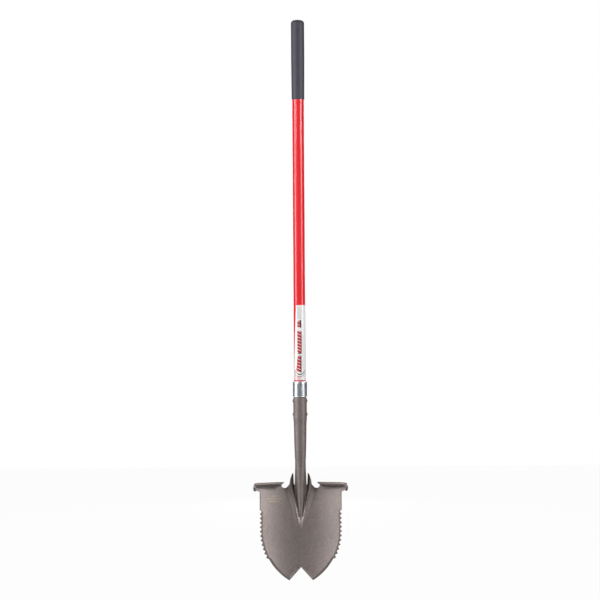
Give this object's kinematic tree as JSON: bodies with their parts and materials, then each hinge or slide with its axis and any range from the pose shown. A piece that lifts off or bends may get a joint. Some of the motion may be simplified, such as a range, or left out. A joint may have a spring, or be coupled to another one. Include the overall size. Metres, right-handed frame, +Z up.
{
  "type": "round point shovel",
  "caption": "Long-handled digging shovel: dished steel blade with saw-toothed sides, an inverted-V twin tip and turned foot steps, on a socketed fibreglass handle with a vinyl grip.",
  "frame": {"origin": "middle of the outer box's underside: the level of the two tips that the shovel stands on, under the middle of its width and depth", "axes": "+Z up the handle, -Y the open side of the blade that faces the digger's work, +X across the blade"},
  "size_m": [0.256, 0.0934, 1.5249],
  "materials": {
    "powder_coat": "hammered satin powder coat, brown-grey",
    "weld_coat": "weld bead under the same powder coat",
    "rivet_coat": "coated rivet head",
    "zinc_steel": "bright zinc plate",
    "red_fibreglass": "gloss pultruded fibreglass",
    "core_wood": "bare hardwood dowel",
    "plug_plastic": "moulded",
    "grip_vinyl": "matte dipped vinyl",
    "label_film": null
  },
  "bodies": {
    "root": {"blade": "powder_coat", "socket": "powder_coat", "socket_weld_left": "weld_coat", "socket_weld_right": "weld_coat", "rear_weld": "weld_coat", "ferrule": "zinc_steel", "handle_tube": "red_fibreglass", "core_plug": "core_wood", "end_plug": "plug_plastic", "grip": "grip_vinyl", "handle_label": "label_film", "upper_rivet": "rivet_coat", "lower_rivet": "rivet_coat"}
  },
  "joints": []
}
